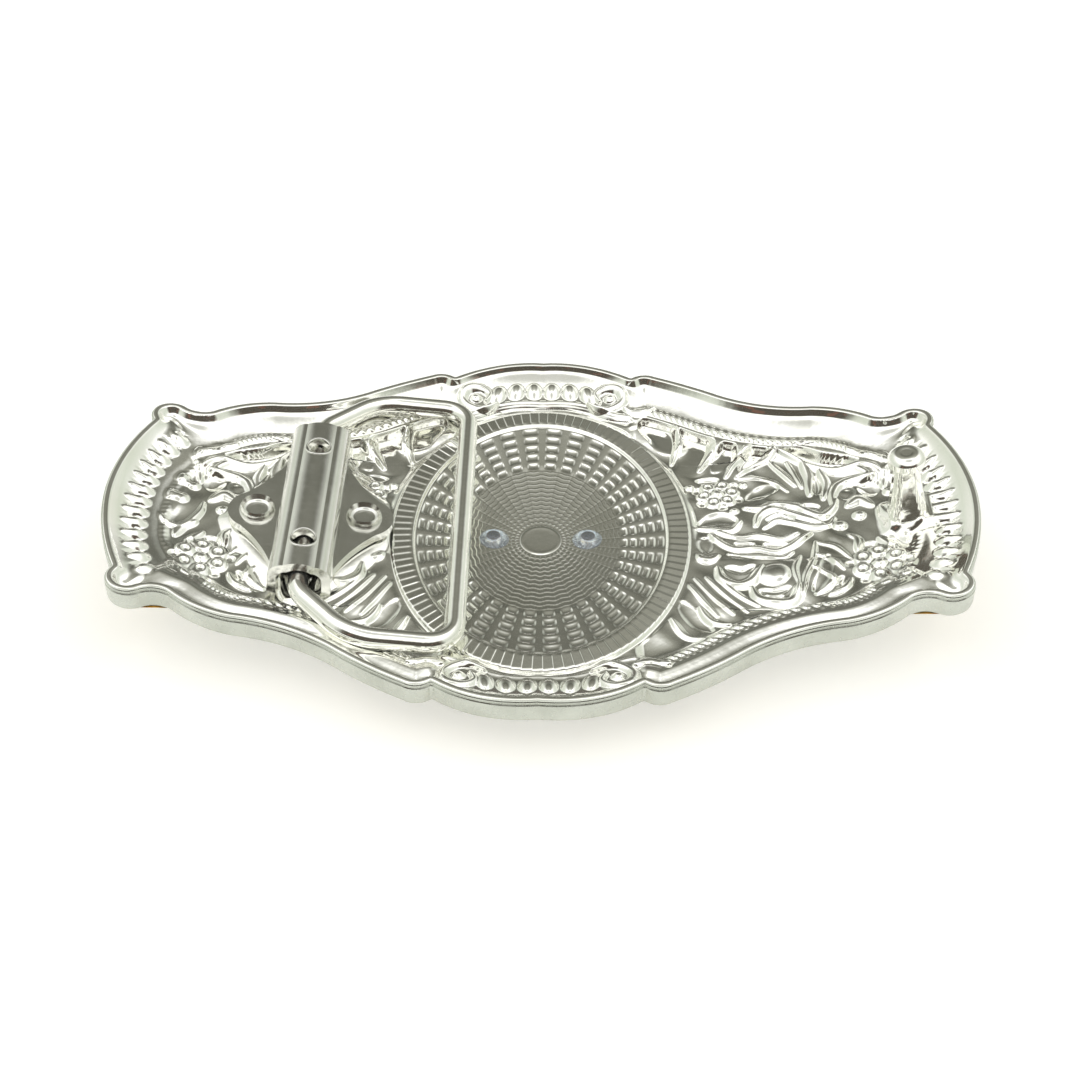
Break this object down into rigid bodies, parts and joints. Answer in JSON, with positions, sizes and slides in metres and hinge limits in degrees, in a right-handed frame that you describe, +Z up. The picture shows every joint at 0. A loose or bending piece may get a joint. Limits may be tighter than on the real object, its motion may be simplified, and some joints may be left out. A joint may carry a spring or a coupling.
{
  "type": "belt buckle",
  "caption": "Bent oval plate buckle seen from its back, with a swinging wire bail in a riveted hinge bracket and a fixed belt hook.",
  "frame": {"origin": "centre of the buckle's box, on the surface it rests on: the flat front face of the emblem", "axes": "+X along the buckle from the bail towards the belt hook, +Y across it, +Z up and away from its front, towards the wearer"},
  "size_m": [0.1028, 0.0634, 0.0176],
  "materials": {
    "nickel_plate": "bright nickel plate on a zinc casting",
    "bracket_steel": "plated sheet steel, lightly scuffed",
    "rivet_steel": "bright plated",
    "bail_wire": "bright plated steel wire",
    "gold_plate": "polished gold tone",
    "clear_adhesive": "clear cured drop"
  },
  "bodies": {
    "plate": {"buckle_plate": "nickel_plate", "belt_hook": "nickel_plate", "hinge_bracket": "bracket_steel", "rivet_left": "rivet_steel", "rivet_right": "rivet_steel", "front_emblem": "gold_plate", "adhesive_drop_left": "clear_adhesive", "adhesive_drop_right": "clear_adhesive"},
    "loop": {"bail": "bail_wire"}
  },
  "joints": [
    {"name": "bail_hinge", "type": "hinge", "parent": "plate", "child": "loop", "pos_m": [-0.02729, 0, 0.0088], "axis": [0, -1, 0], "range_deg": [0, 160]}
  ]
}
